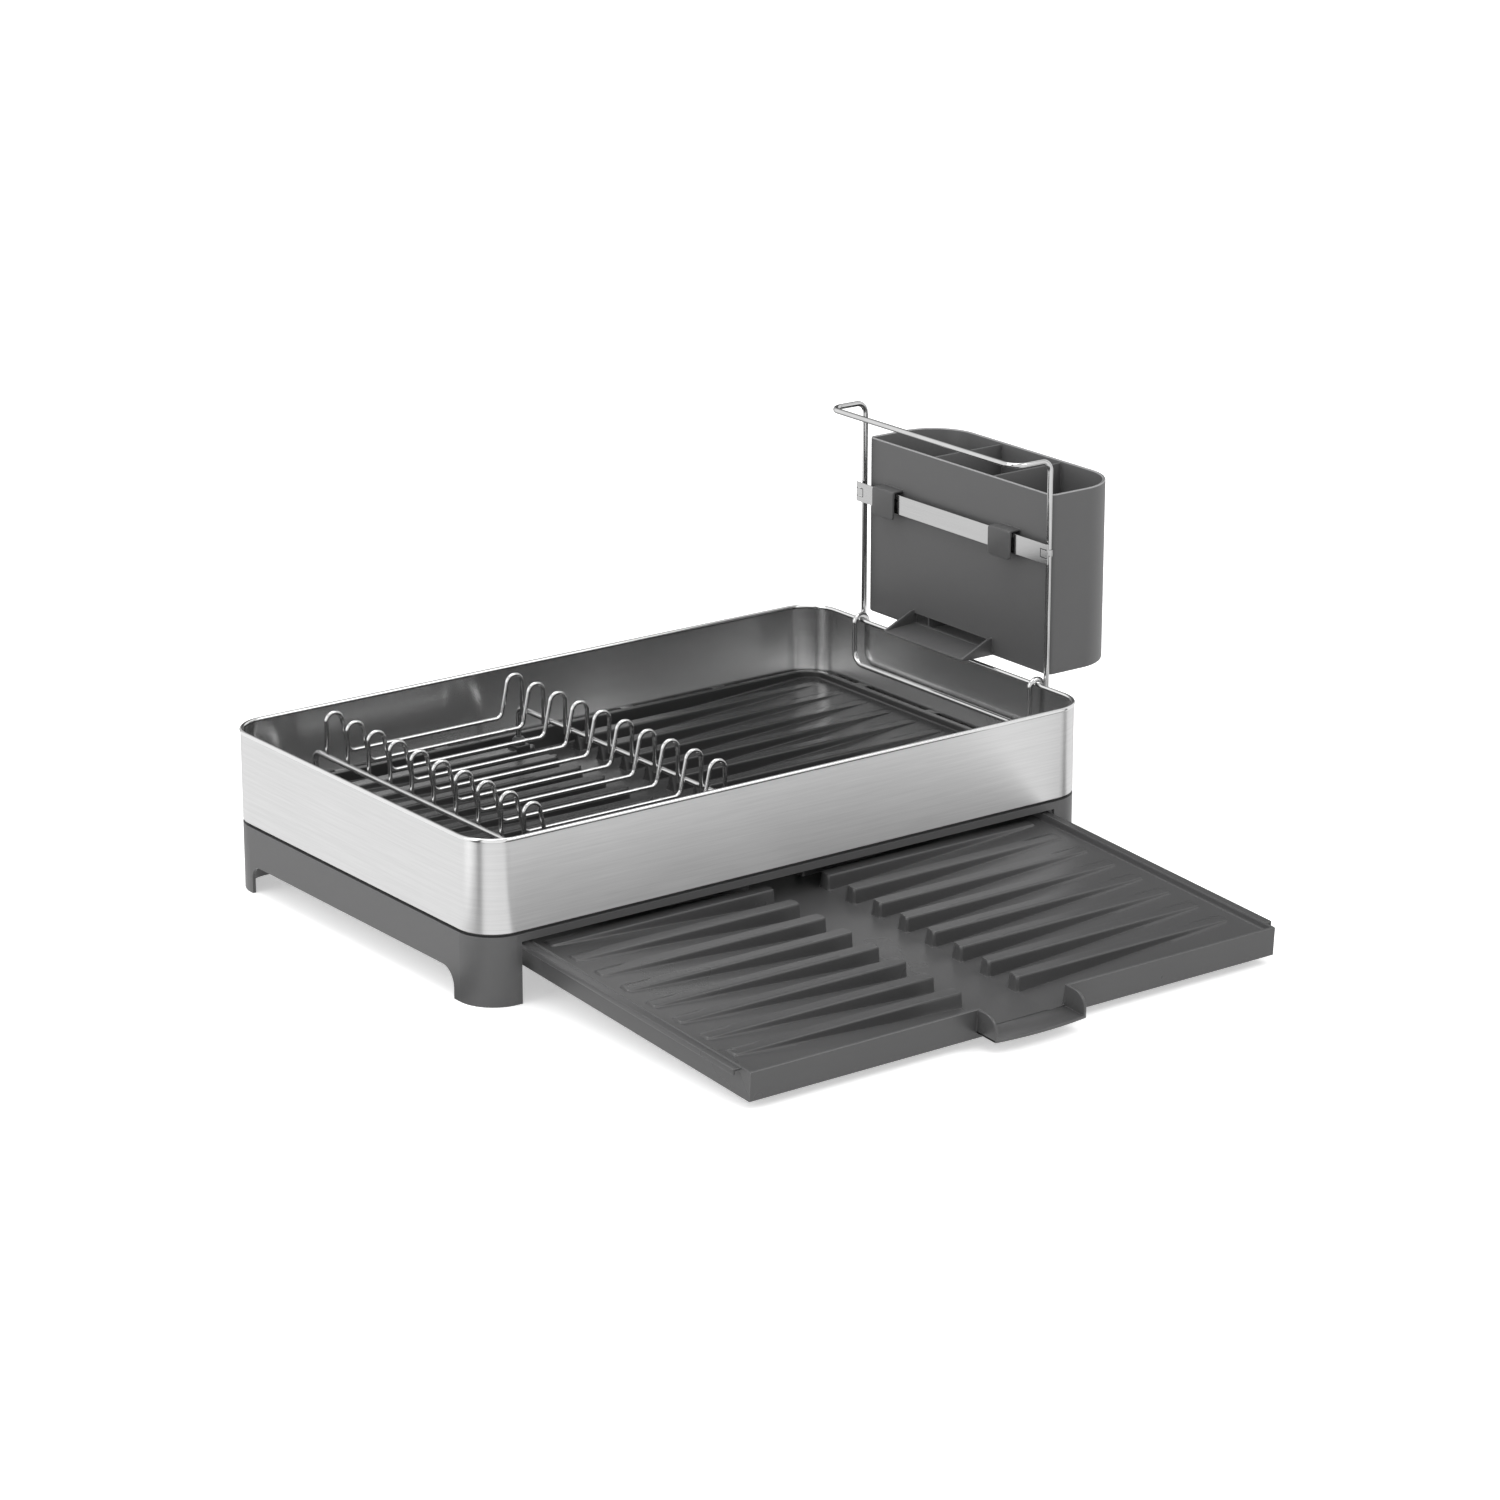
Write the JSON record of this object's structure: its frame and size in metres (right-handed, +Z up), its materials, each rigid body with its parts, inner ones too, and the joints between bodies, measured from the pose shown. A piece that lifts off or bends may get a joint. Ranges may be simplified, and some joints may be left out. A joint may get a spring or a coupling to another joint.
{
  "type": "dish drying rack",
  "caption": "Brushed steel and plastic dish rack with a ribbed drain board, lift-out plate rack, sliding drip tray with spout, and a cutlery holder on a wire hanger.",
  "frame": {"origin": "centre of the bounding box at rest, at the level of the surface that the rack stands on", "axes": "+X along the rack's length towards the cutlery holder, +Y from the drip tray's side to the back, +Z up"},
  "size_m": [0.5876, 0.5747, 0.2795],
  "materials": {
    "band_steel": "horizontally brushed",
    "base_plastic": "fine matte texture",
    "board_plastic": "fine matte texture",
    "tray_plastic": "fine matte texture",
    "holder_plastic": "fine matte texture",
    "cap_plastic": "matt",
    "wire_chrome": "polished",
    "strip_steel": "satin"
  },
  "bodies": {
    "rack": {"steel_band": "band_steel", "base_frame": "base_plastic", "drain_board": "board_plastic"},
    "tray": {"drip_tray": "tray_plastic"},
    "plate_rack": {"cross_rod_left": "wire_chrome", "cross_rod_right": "wire_chrome", "plate_wire_01": "wire_chrome", "plate_wire_02": "wire_chrome", "plate_wire_03": "wire_chrome", "plate_wire_04": "wire_chrome", "plate_wire_05": "wire_chrome", "plate_wire_06": "wire_chrome", "plate_wire_07": "wire_chrome", "plate_wire_08": "wire_chrome", "plate_wire_09": "wire_chrome", "plate_wire_10": "wire_chrome", "rack_foot_1": "cap_plastic", "rack_foot_2": "cap_plastic", "rack_foot_3": "cap_plastic", "rack_foot_4": "cap_plastic"},
    "hanger": {"hanger_hoop": "wire_chrome", "hanger_hook": "wire_chrome", "hanger_strip": "strip_steel"},
    "holder": {"cutlery_holder": "holder_plastic"}
  },
  "joints": [
    {"name": "tray_slide", "type": "slide", "parent": "rack", "child": "tray", "axis": [0, 1, 0], "range_m": [0, 0.2336]},
    {"name": "plate_rack_lift", "type": "slide", "parent": "rack", "child": "plate_rack", "axis": [0, 0, 1], "range_m": [0, 0.15]},
    {"name": "hanger_lift", "type": "slide", "parent": "rack", "child": "hanger", "axis": [0, 0, 1], "range_m": [0, 0.08]},
    {"name": "holder_lift", "type": "slide", "parent": "hanger", "child": "holder", "axis": [0, 0, 1], "range_m": [0, 0.05]}
  ]
}
